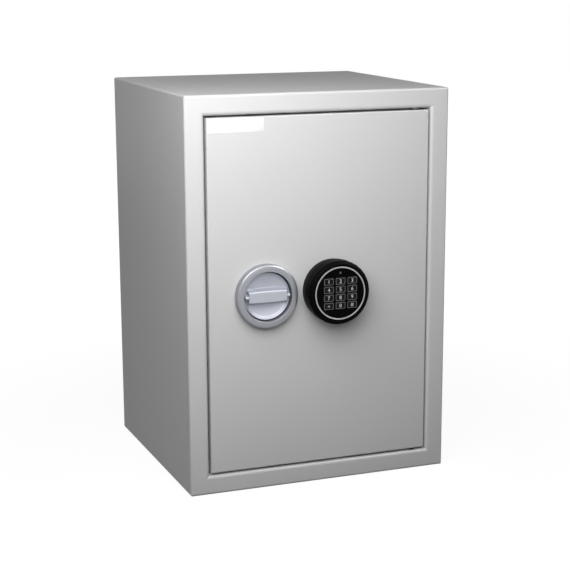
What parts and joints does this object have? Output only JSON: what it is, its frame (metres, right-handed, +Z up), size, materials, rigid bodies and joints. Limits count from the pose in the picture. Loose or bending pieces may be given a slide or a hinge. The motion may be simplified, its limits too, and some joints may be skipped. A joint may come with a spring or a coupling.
{
  "type": "wall safe",
  "caption": "Steel safe cabinet with a flush hinged door, a recessed turning handle that throws the locking bolts, and a round electronic keypad; anchored through its back or base.",
  "frame": {"origin": "centre of the cabinet's underside, midway between the two base anchor holes", "axes": "+X to the right seen from the front, +Y to the back towards the wall, +Z up"},
  "size_m": [0.35, 0.3503, 0.5],
  "materials": {
    "casing_paint": "satin",
    "door_paint": "satin",
    "liner_paint": "satin",
    "fire_board": "matte",
    "zinc_steel": "satin",
    "bright_steel": "polished",
    "hard_steel": "matte",
    "brass": "satin",
    "guide_nylon": "satin",
    "lock_casting": "satin",
    "handle_silver": "satin",
    "ring_silver": "satin",
    "pad_black": "satin",
    "cable_black": "matte",
    "key_rubber": "matte",
    "board_green": "satin",
    "lamp_red": "gloss",
    "battery_shell": "satin"
  },
  "bodies": {
    "cabinet": {"outer_casing": "casing_paint", "front_frame": "casing_paint", "back_panel": "casing_paint", "inner_casing": "liner_paint", "insulation_boards": "fire_board", "base_anchor_sleeves": "zinc_steel", "back_anchor_sleeves": "zinc_steel", "frame_hinge_blocks": "zinc_steel", "hinge_pins": "bright_steel", "shelf": "liner_paint", "shelf_clips": "zinc_steel"},
    "door": {"door_panel": "door_paint", "door_rear_cover": "door_paint", "cover_posts": "zinc_steel", "cover_screws": "bright_steel", "door_hinge_blocks": "zinc_steel", "hinge_bushes": "brass", "hinge_side_dogs": "bright_steel", "bolt_guides": "guide_nylon", "carriage_posts": "zinc_steel", "carriage_screws": "bright_steel", "hard_plate": "hard_steel", "lock_case": "lock_casting", "lock_cover": "zinc_steel", "lock_screws": "bright_steel", "lock_socket": "pad_black", "lock_cable": "cable_black", "handle_housing": "handle_silver", "handle_screws": "bright_steel", "spindle_bush": "brass", "keypad_base": "pad_black", "keypad_base_screws": "zinc_steel", "keypad_housing": "pad_black", "keypad_faceplate": "pad_black", "keypad_ring": "ring_silver", "keypad_board": "board_green", "status_lamp": "lamp_red", "battery": "battery_shell"},
    "handle": {"handle_knob": "handle_silver", "spindle": "bright_steel", "spindle_clip": "zinc_steel", "drive_cam": "zinc_steel", "crank_pin": "bright_steel", "cam_screw": "bright_steel"},
    "boltwork": {"bolt_carriage": "zinc_steel", "locking_bolts": "bright_steel", "bolt_screws": "zinc_steel"},
    "lock_bolt": {"lock_bolt": "brass"},
    "key_1": {"key_1": "key_rubber"},
    "key_2": {"key_2": "key_rubber"},
    "key_3": {"key_3": "key_rubber"},
    "key_4": {"key_4": "key_rubber"},
    "key_5": {"key_5": "key_rubber"},
    "key_6": {"key_6": "key_rubber"},
    "key_7": {"key_7": "key_rubber"},
    "key_8": {"key_8": "key_rubber"},
    "key_9": {"key_9": "key_rubber"},
    "key_star": {"key_star": "key_rubber"},
    "key_0": {"key_0": "key_rubber"},
    "key_hash": {"key_hash": "key_rubber"}
  },
  "joints": [
    {"name": "door_swing", "type": "hinge", "parent": "cabinet", "child": "door", "pos_m": [0.1315, -0.151, 0], "axis": [0, 0, 1], "range_deg": [0, 105]},
    {"name": "handle_turn", "type": "hinge", "parent": "door", "child": "handle", "pos_m": [-0.074, -0.16, 0.251], "axis": [0, -1, 0], "range_deg": [0, 90]},
    {"name": "bolt_throw", "type": "slide", "parent": "door", "child": "boltwork", "axis": [-1, 0, 0], "range_m": [0, 0.018]},
    {"name": "lock_bolt_throw", "type": "slide", "parent": "door", "child": "lock_bolt", "axis": [0, 0, 1], "range_m": [0, 0.009]},
    {"name": "press_1", "type": "slide", "parent": "door", "child": "key_1", "axis": [0, 1, 0], "range_m": [0, 0.0008], "stiffness_N_per_m": 1500},
    {"name": "press_2", "type": "slide", "parent": "door", "child": "key_2", "axis": [0, 1, 0], "range_m": [0, 0.0008], "stiffness_N_per_m": 1500},
    {"name": "press_3", "type": "slide", "parent": "door", "child": "key_3", "axis": [0, 1, 0], "range_m": [0, 0.0008], "stiffness_N_per_m": 1500},
    {"name": "press_4", "type": "slide", "parent": "door", "child": "key_4", "axis": [0, 1, 0], "range_m": [0, 0.0008], "stiffness_N_per_m": 1500},
    {"name": "press_5", "type": "slide", "parent": "door", "child": "key_5", "axis": [0, 1, 0], "range_m": [0, 0.0008], "stiffness_N_per_m": 1500},
    {"name": "press_6", "type": "slide", "parent": "door", "child": "key_6", "axis": [0, 1, 0], "range_m": [0, 0.0008], "stiffness_N_per_m": 1500},
    {"name": "press_7", "type": "slide", "parent": "door", "child": "key_7", "axis": [0, 1, 0], "range_m": [0, 0.0008], "stiffness_N_per_m": 1500},
    {"name": "press_8", "type": "slide", "parent": "door", "child": "key_8", "axis": [0, 1, 0], "range_m": [0, 0.0008], "stiffness_N_per_m": 1500},
    {"name": "press_9", "type": "slide", "parent": "door", "child": "key_9", "axis": [0, 1, 0], "range_m": [0, 0.0008], "stiffness_N_per_m": 1500},
    {"name": "press_star", "type": "slide", "parent": "door", "child": "key_star", "axis": [0, 1, 0], "range_m": [0, 0.0008], "stiffness_N_per_m": 1500},
    {"name": "press_0", "type": "slide", "parent": "door", "child": "key_0", "axis": [0, 1, 0], "range_m": [0, 0.0008], "stiffness_N_per_m": 1500},
    {"name": "press_hash", "type": "slide", "parent": "door", "child": "key_hash", "axis": [0, 1, 0], "range_m": [0, 0.0008], "stiffness_N_per_m": 1500}
  ],
  "couplings": [
    {"joint": "bolt_throw", "follows": "handle_turn", "m_per_rad": 0.011459}
  ]
}
